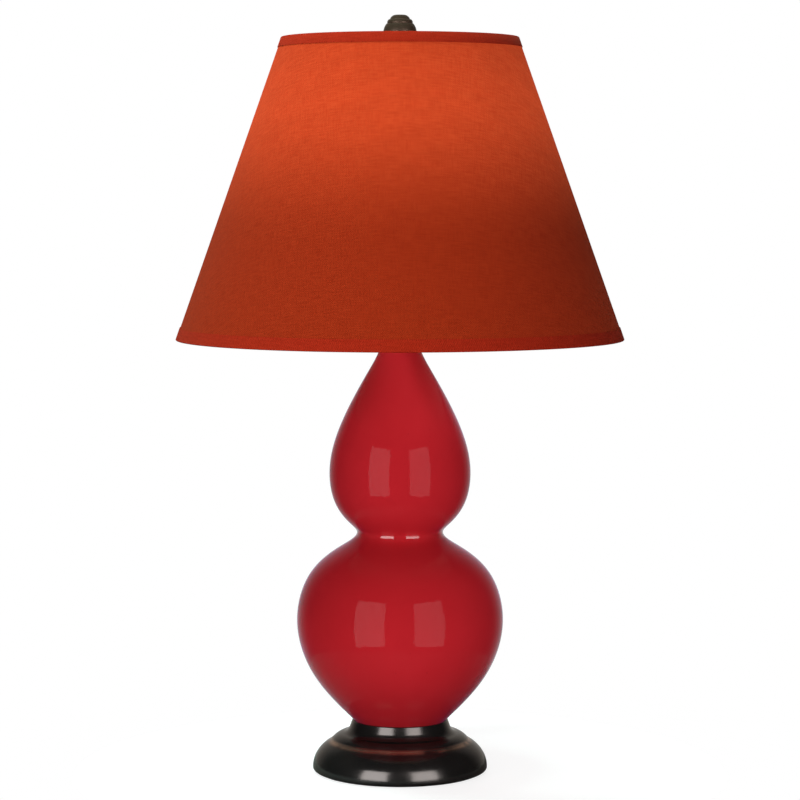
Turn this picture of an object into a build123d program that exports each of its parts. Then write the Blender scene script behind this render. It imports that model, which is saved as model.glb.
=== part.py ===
from build123d import *
from math import cos, radians, sin, tan
import os

os.makedirs("parts", exist_ok=True)

# Double gourd table lamp. Millimetres. The lamp's axis is Z, it stands on Z = 0 and its front faces -Y.

# ---- Driving dimensions: fits shared by several pieces ----
slip_fit = 0.2  # round a rod or tube that passes through a hole without threads
running_gap = 0.08  # radial play of a shaft that turns in its bore
rest_gap = 0.1  # between a lift-off piece and the face it rests on

# ---- Driving dimensions: felt, spun base and its weight ----
felt_thickness = 1.0
felt_inset = 3.6  # the felt's edge inside the foot's widest line
base_height = 39.0  # from the felt to the collar's lip
base_wall = 2.2
foot_radius = 67.1
foot_edge_height = 2.2  # rolled edge under the foot's widest line
foot_edge_inset = 1.7
foot_edge_bulge = 0.425
rim_flange_width = 4.0  # inward flange that the felt is glued to
dome_turn = 60.0  # degrees of quarter ellipse in the foot's dome
ledge_width = 0.7
ledge_height = 0.5
bead_radius = 13.6
bead_low_angle = 35.0
bead_high_angle = 80.0
scotia_radius = 7.2
collar_taper = 20.0  # degrees off the vertical
collar_side_length = 5.6
lip_width = 0.9
lip_chamfer = 0.5
seat_depth = 2.0  # how far the gourd's foot sits below the lip
seat_clearance = 0.25
gasket_thickness = 1.0
gasket_inset = 1.5
gasket_bore_radius = 14.0
weight_inset = 11.1  # the weight's edge inside the foot's widest line
weight_thickness = 12.0
weight_lift = 3.5  # the weight's underside above the base's bottom edge
weight_hub_radius = 15.0
nut_pocket_radius = 13.5
nut_pocket_depth = 8.0
cord_channel_width = 9.0
cord_channel_depth = 7.0

# ---- Driving dimensions: cord bushing at the back of the foot ----
bushing_height = 9.5  # its axis above the table
bushing_bore_radius = 3.2
bushing_neck_radius = 4.2
bushing_flange_radius = 5.4
bushing_flange_stand = 1.6  # flange face beyond the foot's widest line
bushing_collar_radius = 4.9
bushing_collar_thickness = 2.0
bushing_collar_gap = 7.6  # collar's outer face inside the foot's widest line

# ---- Driving dimensions: glazed gourd body ----
gourd_foot_radius = 33.5
gourd_foot_flare = 46.2  # degrees off the vertical where the foot leaves the collar
lower_belly_radius = 79.0
lower_belly_rise = 82.9  # each rise is measured from the station below
waist_radius = 33.1
waist_rise = 64.8
upper_belly_radius = 54.0
upper_belly_rise = 43.0
neck_radius = 14.2
neck_rise = 99.3
neck_lean = 21.7  # degrees off the vertical at the neck
gourd_wall = 5.0
gourd_floor_hole_radius = 7.0
gourd_neck_bore_radius = 8.6
# Flank points between two stations, as shares of the way across and up.
foot_flank = ((0.290, 0.158), (0.690, 0.421))
lower_shoulder = ((0.105, 0.338), (0.710, 0.803))
waist_flank = ((0.268, 0.149), (0.856, 0.579))
upper_shoulder = ((0.261, 0.431), (0.779, 0.821))
cavity_steps = 15  # spans of the inner wall's curve
cavity_shares = (0.03, 0.97)  # where the hollow begins and ends along the outer curve

# ---- Driving dimensions: threaded pipe and the stack that it clamps ----
pipe_radius = 5.1
pipe_bore_radius = 3.7
pipe_below_nut = 1.0
pipe_above_saddle = 8.5
washer_radius = 10.0
washer_thickness = 1.2
base_nut_width = 15.9  # across flats
base_nut_thickness = 5.0
neck_washer_thickness = 1.0
neck_washer_inset = 1.0
cap_wall = 1.2
cap_height = 3.5
cap_crown_radius = 9.5
cap_skirt_drop = 2.2
cap_skirt_clearance = 0.8
check_ring_radius = 8.6
check_ring_height = 3.0
check_ring_groove = 0.5
check_ring_land = 1.0  # plain edge above and below the groove

# ---- Driving dimensions: harp saddle, harp and ferrules ----
saddle_thickness = 1.5
saddle_strip_width = 10.0
saddle_centre_radius = 9.0
saddle_flat_half = 15.0
saddle_rise = 10.0
saddle_shelf_start = 24.5
saddle_shelf_end = 34.5
saddle_bend_radius = 2.5
tongue_width = 3.4
tongue_height = 10.5
harp_height = 215.9  # saddle underside to the shade's seat, a standard 8 1/2 in harp
harp_wire_radius = 1.75
harp_leg_offset = 30.4  # leg centre line from the lamp's axis
harp_side_offset = 57.0
harp_leg_height = 35.0
harp_side_height = 73.0
harp_flare_radius = 30.0
harp_shoulder_radius = 44.0
tongue_gap = 0.25  # tongue to harp leg, side by side in the ferrule
ferrule_bore_radius = 3.25
ferrule_wall = 0.65
ferrule_height = 11.0
eyelet_radius = 5.2
eyelet_height = 5.0

# ---- Driving dimensions: swivel and finial ----
swivel_plate_radius = 8.0
swivel_plate_thickness = 1.8
swivel_shank_radius = 2.3
rivet_radius = 3.7
rivet_thickness = 1.5
stud_radius = 3.0
stud_length = 13.0
stud_chamfer = 0.75
finial_height = 24.8
finial_foot_radius = 6.5
finial_foot_height = 1.8
finial_stem_radius = 5.3
finial_stem_height = 4.2
finial_foot_cove = 0.9  # height over which the foot narrows to the stem
finial_cup_bulge = 1.2
finial_radius = 12.6
finial_brim_height = 11.5
finial_tier_radius = 10.2
finial_tier_height = 6.65  # first step above the brim
finial_crown_radius = 8.3
finial_crown_height = 9.9  # second step above the brim
finial_button_radius = 3.0
finial_step = 0.63  # width of each step
finial_crown_bulge = 0.95
finial_insert_wall = 0.9
finial_insert_length = 13.5

# ---- Driving dimensions: shade ----
shade_height = 227.6  # fabric alone, 9 in with its two trims
shade_top_radius = 89.7
shade_bottom_radius = 170.1
fabric_thickness = 0.5
liner_thickness = 0.8
trim_thickness = 0.5
top_trim_height = 7.2
bottom_trim_height = 8.6
spider_drop = 7.7  # hub's underside below the top ring's centre
spider_hub_radius = 10.0
spider_hub_hole_radius = 3.6
spider_hub_thickness = 1.6
spider_arm_radius = 1.4
spider_bend_radius = 9.0
spider_bend_inset = 17.0  # bend in each arm inside the top ring
spider_arms = 3
shade_ring_radius = 1.3  # wire of the top and bottom rings
shade_ring_inset = 1.5  # ring centre inside the rim, up or down

# ---- Driving dimensions: lamp socket ----
socket_cap_height = 16.5
socket_cap_neck_radius = 7.4
socket_cap_neck_height = 4.0
socket_cap_rim_height = 4.5
socket_cap_hub_height = 7.5
socket_radius = 16.7
socket_wall = 0.6
socket_height = 60.0
socket_bead = 0.5
socket_bead_height = 34.0
socket_shell_lap = 3.0
liner_gap = 0.2
socket_liner_wall = 0.7
interior_bottom = 13.5  # above the socket's underside
interior_top = 35.0
terminal_groove_width = 8.0
terminal_groove_depth = 3.0
terminal_head_radius = 2.6
terminal_head_thickness = 1.6
screw_shell_bore_radius = 13.45
screw_shell_wall = 0.5
screw_shell_height = 22.5
screw_shell_lip = 5.0
contact_post_radius = 2.5
contact_rise = 2.0
contact_sink = 1.0
set_screw_radius = 1.5
set_screw_length = 4.5

# ---- Driving dimensions: switch ----
switch_height = 24.0  # spindle above the socket's underside
spindle_radius = 1.6
spindle_inner_end = 1.0  # beyond the lamp's axis, inside the socket
spindle_hole_radius = 3.4
knob_radius = 5.2
knob_start = 20.0
knob_length = 12.5
knob_socket_depth = 9.5
knob_flute_radius = 0.9
knob_flutes = 10
knob_edge = 0.8

# ---- Driving dimensions: bulb, pear shape of 60 mm ----
bulb_length = 108.0
bulb_radius = 30.0
bulb_wall = 0.8
bulb_neck_radius = 12.6
bulb_neck_height = 32.0
bulb_neck_start = 23.0
bulb_shoulder_angle = 35.0  # where the ball meets the neck's sweep
bulb_stem_height = 27.0
bulb_base_radius = 13.1
bulb_base_bottom = 4.2
bulb_base_top = 26.0
bulb_base_wall = 0.4
insulator_low_radius = 5.6
insulator_bottom = 1.0
bulb_contact_radius = 4.6


def polar(radius, degrees):
    """A point on a circle about the origin."""
    return Vector(radius * cos(radians(degrees)), radius * sin(radians(degrees)))


def flank(low, high, shares):
    """The outline's points between two stations, from their shares of the way."""
    way = high - low
    return [low + Vector(way.X * across, way.Y * up) for across, up in shares]


# ---- Heights that follow from the driving dimensions ----
lip_top = felt_thickness + base_height
gourd_bottom = lip_top - seat_depth
seat_top = gourd_bottom - gasket_thickness
seat_underside = seat_top - base_wall
belly_height = gourd_bottom + lower_belly_rise
waist_height = belly_height + waist_rise
upper_belly_height = waist_height + upper_belly_rise
gourd_top = upper_belly_height + neck_rise
cap_bottom = gourd_top + neck_washer_thickness
cap_top = cap_bottom + cap_height
saddle_bottom = cap_top + check_ring_height
saddle_top = saddle_bottom + saddle_thickness
shelf_top = saddle_top + saddle_rise
shade_seat = saddle_bottom + harp_height
pipe_hole_radius = pipe_radius + slip_fit
weight_radius = foot_radius - weight_inset

# ---- Outline of the spun base, from the collar's lip down to the foot ----
lip_inner_radius = gourd_foot_radius + seat_depth * tan(radians(gourd_foot_flare)) + seat_clearance
lip_corner = Vector(lip_inner_radius + lip_width, lip_top - lip_chamfer)
collar_foot = lip_corner - polar(collar_side_length, 90 + collar_taper)
scotia_start = 180 + collar_taper
scotia_end = 180 + bead_high_angle
scotia_centre = collar_foot - polar(scotia_radius, scotia_start)
bead_top = scotia_centre + polar(scotia_radius, scotia_end)
bead_centre = bead_top - polar(bead_radius, bead_high_angle)
bead_edge = bead_centre + polar(bead_radius, bead_low_angle)
bead_turn = bead_high_angle - bead_low_angle
dome_top = bead_edge + Vector(ledge_width, -ledge_height)
widest_height = felt_thickness + foot_edge_height
dome_run = (foot_radius - dome_top.X) / (1 - cos(radians(dome_turn)))
dome_rise = (dome_top.Y - widest_height) / sin(radians(dome_turn))
dome_centre = Vector(foot_radius - dome_run, widest_height)

# The base's full outer form, still solid: dome, ledge, bead, scotia and collar.
with BuildPart() as base_form:
    with BuildSketch(Plane.XZ):
        with BuildLine():
            underside = Line((0, felt_thickness), (foot_radius - foot_edge_inset, felt_thickness))
            EllipticalCenterArc(dome_centre, dome_run, dome_rise, start_angle=0, arc_size=dome_turn)
            SagittaArc(underside @ 1, (foot_radius, widest_height), -foot_edge_bulge)
            Line(dome_top, bead_edge)
            CenterArc(bead_centre, bead_radius, bead_low_angle, bead_turn)
            CenterArc(scotia_centre, scotia_radius, scotia_end, scotia_start - scotia_end)
            Polyline(
                collar_foot,
                lip_corner,
                (lip_corner.X - lip_chamfer, lip_top),
                (0, lip_top),
                (0, felt_thickness),
            )
        make_face()
    revolve(axis=Axis.Z)

# The hollow under the base follows the outline, one wall further in.
inner_collar_foot = scotia_centre + polar(scotia_radius + base_wall, scotia_start)
inner_bead_edge = bead_centre + polar(bead_radius - base_wall, bead_low_angle)
inner_run = dome_run - base_wall
inner_rise = dome_rise - base_wall
inner_dome_top = dome_centre + Vector(
    inner_run * cos(radians(dome_turn)), inner_rise * sin(radians(dome_turn))
)
inner_collar_radius = inner_collar_foot.X - (seat_underside - inner_collar_foot.Y) * tan(radians(collar_taper))
rim_inner_radius = foot_radius - base_wall - rim_flange_width

# ---- base_shell: spun metal foot, with the seat for the gourd and a hole for the cord ----
with BuildPart() as base_shell:
    add(base_form.part)
    with BuildSketch(Plane.XZ) as base_hollow:
        with BuildLine():
            Polyline(
                (0, seat_underside),
                (0, felt_thickness),
                (rim_inner_radius, felt_thickness),
                (rim_inner_radius, widest_height),
                (foot_radius - base_wall, widest_height),
            )
            EllipticalCenterArc(dome_centre, inner_run, inner_rise, start_angle=0, arc_size=dome_turn)
            Line(inner_dome_top, inner_bead_edge)
            CenterArc(bead_centre, bead_radius - base_wall, bead_low_angle, bead_turn)
            CenterArc(scotia_centre, scotia_radius + base_wall, scotia_end, scotia_start - scotia_end)
            Polyline(inner_collar_foot, (inner_collar_radius, seat_underside), (0, seat_underside))
        make_face()
    revolve(axis=Axis.Z, mode=Mode.SUBTRACT)
    with BuildSketch(Plane.XY.offset(seat_top)):
        Circle(lip_inner_radius)
    extrude(amount=lip_top - seat_top, mode=Mode.SUBTRACT)
    with BuildSketch(Plane.XY.offset(seat_underside)):
        Circle(pipe_hole_radius)
    extrude(amount=base_wall, mode=Mode.SUBTRACT)
    with BuildSketch(Plane.XZ.offset(-foot_radius - bushing_flange_stand)):
        with Locations((0, bushing_height)):
            Circle(bushing_neck_radius)
    extrude(amount=foot_radius - weight_radius + bushing_flange_stand, mode=Mode.SUBTRACT)
base_shell.part.label = "base_shell"
export_step(base_shell.part, "parts/base_shell.step")

# ---- felt_pad: disc glued under the foot's inward flange ----
with BuildPart() as felt_pad:
    with BuildSketch():
        Circle(foot_radius - felt_inset)
    extrude(amount=felt_thickness)
felt_pad.part.label = "felt_pad"
export_step(felt_pad.part, "parts/felt_pad.step")

# ---- base_weight: cast iron disc and hub, with a pocket for the nut and a channel for the cord ----
weight_bottom = felt_thickness + weight_lift
pocket_top = weight_bottom + nut_pocket_depth
with BuildPart() as base_weight:
    with BuildSketch(Plane.XY.offset(weight_bottom)):
        Circle(weight_radius)
    extrude(amount=weight_thickness)
    chamfer(base_weight.edges().filter_by(GeomType.CIRCLE).group_by(Axis.Z)[-1], length=base_wall)
    with BuildSketch(Plane.XY.offset(weight_bottom)):
        Circle(weight_hub_radius)
    extrude(amount=seat_underside - weight_bottom)
    with BuildSketch(Plane.XY.offset(weight_bottom)):
        Circle(nut_pocket_radius)
    extrude(amount=nut_pocket_depth, mode=Mode.SUBTRACT)
    with BuildSketch(Plane.XY.offset(weight_bottom)):
        with Locations((0, weight_radius / 2)):
            Rectangle(cord_channel_width, weight_radius)
    extrude(amount=cord_channel_depth, mode=Mode.SUBTRACT)
    with BuildSketch(Plane.XY.offset(pocket_top)):
        Circle(pipe_hole_radius)
    extrude(amount=seat_underside - pocket_top, mode=Mode.SUBTRACT)
base_weight.part.label = "base_weight"
export_step(base_weight.part, "parts/base_weight.step")

# ---- base_washer and base_nut: they draw the pipe down against the weight ----
washer_bottom = pocket_top - washer_thickness
with BuildPart() as base_washer:
    with BuildSketch(Plane.XY.offset(washer_bottom)):
        Circle(washer_radius)
        Circle(pipe_hole_radius, mode=Mode.SUBTRACT)
    extrude(amount=washer_thickness)
base_washer.part.label = "base_washer"
export_step(base_washer.part, "parts/base_washer.step")

nut_bottom = washer_bottom - base_nut_thickness
with BuildPart() as base_nut:
    with BuildSketch(Plane.XY.offset(nut_bottom)):
        RegularPolygon(base_nut_width / 2, 6, major_radius=False)
        Circle(pipe_radius, mode=Mode.SUBTRACT)
    extrude(amount=base_nut_thickness)
base_nut.part.label = "base_nut"
export_step(base_nut.part, "parts/base_nut.step")

# ---- cord_bushing: moulded sleeve in the back of the foot, its flange shaped to the dome ----
flange_face = foot_radius + bushing_flange_stand
collar_face = foot_radius - bushing_collar_gap
bushing_inner_end = collar_face - bushing_collar_thickness
bushing_length = flange_face - bushing_inner_end
with BuildPart() as cord_bushing:
    with BuildSketch(Plane.XZ.offset(-flange_face)):
        with Locations((0, bushing_height)):
            Circle(bushing_flange_radius)
    extrude(amount=bushing_length)
    add(base_form.part, mode=Mode.SUBTRACT)
    with BuildSketch(Plane.XZ.offset(-flange_face)):
        with Locations((0, bushing_height)):
            Circle(bushing_neck_radius)
    extrude(amount=bushing_length)
    with BuildSketch(Plane.XZ.offset(-collar_face)):
        with Locations((0, bushing_height)):
            Circle(bushing_collar_radius)
    extrude(amount=bushing_collar_thickness)
    with BuildSketch(Plane.XZ.offset(-flange_face)):
        with Locations((0, bushing_height)):
            Circle(bushing_bore_radius)
    extrude(amount=bushing_length, mode=Mode.SUBTRACT)
cord_bushing.part.label = "cord_bushing"
export_step(cord_bushing.part, "parts/cord_bushing.step")

# ---- seat_gasket: rubber ring between the base and the gourd ----
with BuildPart() as seat_gasket:
    with BuildSketch(Plane.XY.offset(seat_top)):
        Circle(gourd_foot_radius - gasket_inset)
        Circle(gasket_bore_radius, mode=Mode.SUBTRACT)
    extrude(amount=gasket_thickness)
seat_gasket.part.label = "seat_gasket"
export_step(seat_gasket.part, "parts/seat_gasket.step")

# ---- gourd_body: hollow glazed ceramic, drawn through five stations and the flanks between them ----
foot_station = Vector(gourd_foot_radius, gourd_bottom)
lower_belly = Vector(lower_belly_radius, belly_height)
waist = Vector(waist_radius, waist_height)
upper_belly = Vector(upper_belly_radius, upper_belly_height)
neck_station = Vector(neck_radius, gourd_top)
gourd_outline = [
    foot_station,
    *flank(foot_station, lower_belly, foot_flank),
    lower_belly,
    *flank(lower_belly, waist, lower_shoulder),
    waist,
    *flank(waist, upper_belly, waist_flank),
    upper_belly,
    *flank(upper_belly, neck_station, upper_shoulder),
    neck_station,
]
foot_direction = polar(1, 90 - gourd_foot_flare)
neck_direction = polar(1, 90 + neck_lean)
with BuildPart() as gourd_body:
    with BuildSketch(Plane.XZ):
        with BuildLine():
            outer_curve = Spline(*gourd_outline, tangents=[foot_direction, neck_direction])
            Polyline(neck_station, (0, gourd_top), (0, gourd_bottom), foot_station)
        make_face()
    revolve(axis=Axis.Z)
    with BuildSketch(Plane.XZ):
        with BuildLine():
            cavity_points = []
            for step in range(cavity_steps + 1):
                share = cavity_shares[0] + (cavity_shares[1] - cavity_shares[0]) * step / cavity_steps
                along = outer_curve % share
                cavity_points.append(outer_curve @ share + Vector(-along.Y, along.X) * gourd_wall)
            Spline(*cavity_points)
            cavity_ceiling = Vector(0, cavity_points[-1].Y)
            cavity_floor = Vector(0, cavity_points[0].Y)
            Polyline(cavity_points[-1], cavity_ceiling, cavity_floor, cavity_points[0])
        make_face()
    revolve(axis=Axis.Z, mode=Mode.SUBTRACT)
    with BuildSketch(Plane.XY.offset(gourd_bottom)):
        Circle(gourd_floor_hole_radius)
    extrude(amount=waist_height - gourd_bottom, mode=Mode.SUBTRACT)
    with BuildSketch(Plane.XY.offset(gourd_top)):
        Circle(gourd_neck_bore_radius)
    extrude(amount=waist_height - gourd_top, mode=Mode.SUBTRACT)
gourd_body.part.label = "gourd_body"
export_step(gourd_body.part, "parts/gourd_body.step")

# ---- neck_washer: rubber ring between the gourd's neck and the cap ----
with BuildPart() as neck_washer:
    with BuildSketch(Plane.XY.offset(gourd_top)):
        Circle(neck_radius - neck_washer_inset)
        Circle(gourd_neck_bore_radius, mode=Mode.SUBTRACT)
    extrude(amount=neck_washer_thickness)
neck_washer.part.label = "neck_washer"
export_step(neck_washer.part, "parts/neck_washer.step")

# ---- vase_cap: spun cap over the neck, with a skirt round the rim ----
skirt_inner_radius = neck_radius + cap_skirt_clearance
skirt_radius = skirt_inner_radius + cap_wall
with BuildPart() as vase_cap:
    with BuildSketch(Plane.XZ):
        with BuildLine():
            Polyline(
                (pipe_hole_radius, cap_top - cap_wall),
                (cap_crown_radius - cap_wall, cap_top - cap_wall),
                (skirt_inner_radius - cap_wall, cap_bottom),
                (skirt_inner_radius, cap_bottom),
                (skirt_inner_radius, cap_bottom - cap_skirt_drop),
                (skirt_radius, cap_bottom - cap_skirt_drop),
                (skirt_radius, cap_bottom),
                (cap_crown_radius, cap_top),
                (pipe_hole_radius, cap_top),
                close=True,
            )
        make_face()
    revolve(axis=Axis.Z)
    skirt_edges = vase_cap.edges().filter_by(GeomType.CIRCLE).group_by(SortBy.RADIUS)[-1]
    fillet(skirt_edges.sort_by(Axis.Z)[-1], radius=cap_wall / 2)
vase_cap.part.label = "vase_cap"
export_step(vase_cap.part, "parts/vase_cap.step")

# ---- lamp_pipe: threaded tube that clamps base, gourd, cap and socket together ----
pipe_bottom = nut_bottom - pipe_below_nut
pipe_top = saddle_top + pipe_above_saddle
with BuildPart() as lamp_pipe:
    with BuildSketch(Plane.XY.offset(pipe_bottom)):
        Circle(pipe_radius)
        Circle(pipe_bore_radius, mode=Mode.SUBTRACT)
    extrude(amount=pipe_top - pipe_bottom)
lamp_pipe.part.label = "lamp_pipe"
export_step(lamp_pipe.part, "parts/lamp_pipe.step")

# ---- check_ring: turned brass spacer between the cap and the saddle ----
with BuildPart() as check_ring:
    with BuildSketch(Plane.XZ):
        with BuildLine():
            Polyline(
                (pipe_radius, cap_top),
                (check_ring_radius, cap_top),
                (check_ring_radius, cap_top + check_ring_land),
                (check_ring_radius - check_ring_groove, cap_top + check_ring_height / 2),
                (check_ring_radius, saddle_bottom - check_ring_land),
                (check_ring_radius, saddle_bottom),
                (pipe_radius, saddle_bottom),
                close=True,
            )
        make_face()
    revolve(axis=Axis.Z)
check_ring.part.label = "check_ring"
export_step(check_ring.part, "parts/check_ring.step")

# ---- harp_saddle: bent strip under the socket, its two tongues hold the harp's legs ----
strip_middle = saddle_bottom + saddle_thickness / 2
shelf_middle = strip_middle + saddle_rise
leg_inner_face = harp_leg_offset - harp_wire_radius
tongue_outer_face = leg_inner_face - tongue_gap
tongue_centre = tongue_outer_face - saddle_thickness / 2
with BuildPart() as harp_saddle:
    with BuildLine(Plane.XZ) as strip_path:
        FilletPolyline(
            (-saddle_shelf_end, shelf_middle),
            (-saddle_shelf_start, shelf_middle),
            (-saddle_flat_half, strip_middle),
            (saddle_flat_half, strip_middle),
            (saddle_shelf_start, shelf_middle),
            (saddle_shelf_end, shelf_middle),
            radius=saddle_bend_radius,
        )
    with BuildSketch(Plane(origin=strip_path.line @ 0, z_dir=strip_path.line % 0, x_dir=(0, 1, 0))):
        Rectangle(saddle_strip_width, saddle_thickness)
    sweep(path=strip_path.line)
    with BuildSketch(Plane.XY.offset(saddle_bottom)):
        Circle(saddle_centre_radius)
    extrude(amount=saddle_thickness)
    with BuildSketch(Plane.XY.offset(shelf_top)):
        with Locations((tongue_centre, 0), (-tongue_centre, 0)):
            Rectangle(saddle_thickness, tongue_width)
    extrude(amount=tongue_height)
    with BuildSketch(Plane.XY.offset(saddle_bottom)):
        Circle(pipe_radius)
    extrude(amount=saddle_thickness, mode=Mode.SUBTRACT)
harp_saddle.part.label = "harp_saddle"
export_step(harp_saddle.part, "parts/harp_saddle.step")

# ---- harp_frame: bent wire with a riveted eyelet at its top ----
leg_bottom = shelf_top + rest_gap
plate_bottom = shade_seat - swivel_plate_thickness
eyelet_top = plate_bottom - rest_gap
eyelet_bottom = eyelet_top - eyelet_height
harp_top = eyelet_bottom + eyelet_height / 2
flare_start = leg_bottom + harp_leg_height
flare_end = leg_bottom + harp_side_height
shank_hole_radius = swivel_shank_radius + running_gap
with BuildPart() as harp_frame:
    with BuildLine(Plane.XZ) as harp_path:
        FilletPolyline(
            (-harp_leg_offset, leg_bottom),
            (-harp_leg_offset, flare_start),
            (-harp_side_offset, flare_end),
            (-harp_side_offset, harp_top),
            (harp_side_offset, harp_top),
            (harp_side_offset, flare_end),
            (harp_leg_offset, flare_start),
            (harp_leg_offset, leg_bottom),
            radius=[
                harp_flare_radius,
                harp_flare_radius,
                harp_shoulder_radius,
                harp_shoulder_radius,
                harp_flare_radius,
                harp_flare_radius,
            ],
        )
    with BuildSketch(Plane.XY.offset(leg_bottom)):
        with Locations((-harp_leg_offset, 0)):
            Circle(harp_wire_radius)
    sweep(path=harp_path.line)
    with BuildSketch(Plane.XY.offset(eyelet_bottom)):
        Circle(eyelet_radius)
    extrude(amount=eyelet_height)
    with BuildSketch(Plane.XY.offset(eyelet_bottom)):
        Circle(shank_hole_radius)
    extrude(amount=eyelet_height, mode=Mode.SUBTRACT)
harp_frame.part.label = "harp_frame"
export_step(harp_frame.part, "parts/harp_frame.step")

# ---- harp_ferrule_left and harp_ferrule_right: sleeves that lock the legs to the tongues ----
tongue_inner_face = tongue_outer_face - saddle_thickness
ferrule_offset = (tongue_inner_face + harp_leg_offset + harp_wire_radius) / 2
for side, name in ((-1, "harp_ferrule_left"), (1, "harp_ferrule_right")):
    with BuildPart() as harp_ferrule:
        with BuildSketch(Plane.XY.offset(shelf_top + rest_gap)):
            with Locations((side * ferrule_offset, 0)):
                Circle(ferrule_bore_radius + ferrule_wall)
                Circle(ferrule_bore_radius, mode=Mode.SUBTRACT)
        extrude(amount=ferrule_height)
    harp_ferrule.part.label = name
    export_step(harp_ferrule.part, f"parts/{name}.step")

# ---- harp_swivel: plate and threaded stud, riveted through the eyelet so that it turns ----
rivet_top = eyelet_bottom - rest_gap
with BuildPart() as harp_swivel:
    with BuildSketch(Plane.XY.offset(rivet_top - rivet_thickness)):
        Circle(rivet_radius)
    extrude(amount=rivet_thickness)
    with BuildSketch(Plane.XY.offset(rivet_top)):
        Circle(swivel_shank_radius)
    extrude(amount=plate_bottom - rivet_top)
    with BuildSketch(Plane.XY.offset(plate_bottom)):
        Circle(swivel_plate_radius)
    extrude(amount=swivel_plate_thickness)
    with BuildSketch(Plane.XY.offset(shade_seat)):
        Circle(stud_radius)
    extrude(amount=stud_length)
    chamfer(harp_swivel.faces().sort_by(Axis.Z)[-1].edges(), length=stud_chamfer)
harp_swivel.part.label = "harp_swivel"
export_step(harp_swivel.part, "parts/harp_swivel.step")

# ---- finial_insert: tapped brass sleeve inside the finial ----
hub_bottom = shade_seat + rest_gap
finial_bottom = hub_bottom + spider_hub_thickness + rest_gap
stud_bore_radius = stud_radius + running_gap
insert_radius = stud_bore_radius + finial_insert_wall
with BuildPart() as finial_insert:
    with BuildSketch(Plane.XY.offset(finial_bottom)):
        Circle(insert_radius)
        Circle(stud_bore_radius, mode=Mode.SUBTRACT)
    extrude(amount=finial_insert_length)
finial_insert.part.label = "finial_insert"
export_step(finial_insert.part, "parts/finial_insert.step")

# ---- finial_body: turned knob that steps in towards its crown in three tiers ----
brim = finial_bottom + finial_brim_height
finial_top = finial_bottom + finial_height
foot_rim = finial_bottom + finial_foot_height
tier_edge = Vector(finial_tier_radius, brim + finial_tier_height)
crown_edge = Vector(finial_crown_radius, brim + finial_crown_height)
button_edge = Vector(finial_button_radius, finial_top)
step_back = Vector(finial_step, 0)
with BuildPart() as finial_body:
    with BuildSketch(Plane.XZ):
        with BuildLine():
            foot_line = Polyline(
                (0, finial_bottom),
                (finial_foot_radius, finial_bottom),
                (finial_foot_radius, foot_rim),
                (finial_stem_radius, foot_rim + finial_foot_cove),
                (finial_stem_radius, finial_bottom + finial_stem_height),
            )
            SagittaArc(foot_line @ 1, (finial_radius, brim), finial_cup_bulge)
            SagittaArc((finial_radius, brim), tier_edge, -finial_step)
            Line(tier_edge, tier_edge - step_back)
            SagittaArc(tier_edge - step_back, crown_edge, -finial_step)
            Line(crown_edge, crown_edge - step_back)
            SagittaArc(crown_edge - step_back, button_edge, -finial_crown_bulge)
            Polyline(button_edge, (0, finial_top), (0, finial_bottom))
        make_face()
    revolve(axis=Axis.Z)
    with BuildSketch(Plane.XY.offset(finial_bottom)):
        Circle(insert_radius)
    extrude(amount=finial_insert_length, mode=Mode.SUBTRACT)
finial_body.part.label = "finial_body"
export_step(finial_body.part, "parts/finial_body.step")

# ---- Shade layers: conical bands, each a depth under the fabric's outer face ----
shade_slope = (shade_bottom_radius - shade_top_radius) / shade_height
slope_factor = (1 + shade_slope**2) ** 0.5
ring_height = hub_bottom + spider_drop
shade_top = ring_height + shade_ring_inset
shade_bottom = shade_top - shade_height
lining_depth = fabric_thickness + liner_thickness


def shade_point(depth, height):
    """The point of the shade's section at this height, so far inside the fabric's outer face."""
    outer = shade_top_radius + (shade_top - height) * shade_slope
    return (outer - depth * slope_factor, height)


def band(outer_depth, inner_depth, low, high):
    """One conical layer of the shade, as a closed section."""
    Polygon(
        shade_point(outer_depth, low),
        shade_point(outer_depth, high),
        shade_point(inner_depth, high),
        shade_point(inner_depth, low),
        align=None,
    )


def wire_ring(depth, height):
    """A wire circle that touches the lining from inside."""
    with Locations(shade_point(depth, height)):
        Circle(shade_ring_radius)


# ---- shade_fabric: cotton cone, the shade's outer skin ----
with BuildPart() as shade_fabric:
    with BuildSketch(Plane.XZ):
        band(0, fabric_thickness, shade_bottom, shade_top)
    revolve(axis=Axis.Z)
shade_fabric.part.label = "shade_fabric"
export_step(shade_fabric.part, "parts/shade_fabric.step")

# ---- shade_liner: stiff white sheet that the fabric is bonded to ----
with BuildPart() as shade_liner:
    with BuildSketch(Plane.XZ):
        band(fabric_thickness, lining_depth, shade_bottom, shade_top)
    revolve(axis=Axis.Z)
shade_liner.part.label = "shade_liner"
export_step(shade_liner.part, "parts/shade_liner.step")

# ---- shade_top_trim and shade_bottom_trim: fabric tapes folded over the two rims ----
with BuildPart() as shade_top_trim:
    with BuildSketch(Plane.XZ):
        band(-trim_thickness, 0, shade_top - top_trim_height, shade_top)
        band(-trim_thickness, lining_depth, shade_top, shade_top + trim_thickness)
    revolve(axis=Axis.Z)
shade_top_trim.part.label = "shade_top_trim"
export_step(shade_top_trim.part, "parts/shade_top_trim.step")

with BuildPart() as shade_bottom_trim:
    with BuildSketch(Plane.XZ):
        band(-trim_thickness, 0, shade_bottom, shade_bottom + bottom_trim_height)
        band(-trim_thickness, lining_depth, shade_bottom - trim_thickness, shade_bottom)
    revolve(axis=Axis.Z)
shade_bottom_trim.part.label = "shade_bottom_trim"
export_step(shade_bottom_trim.part, "parts/shade_bottom_trim.step")

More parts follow.
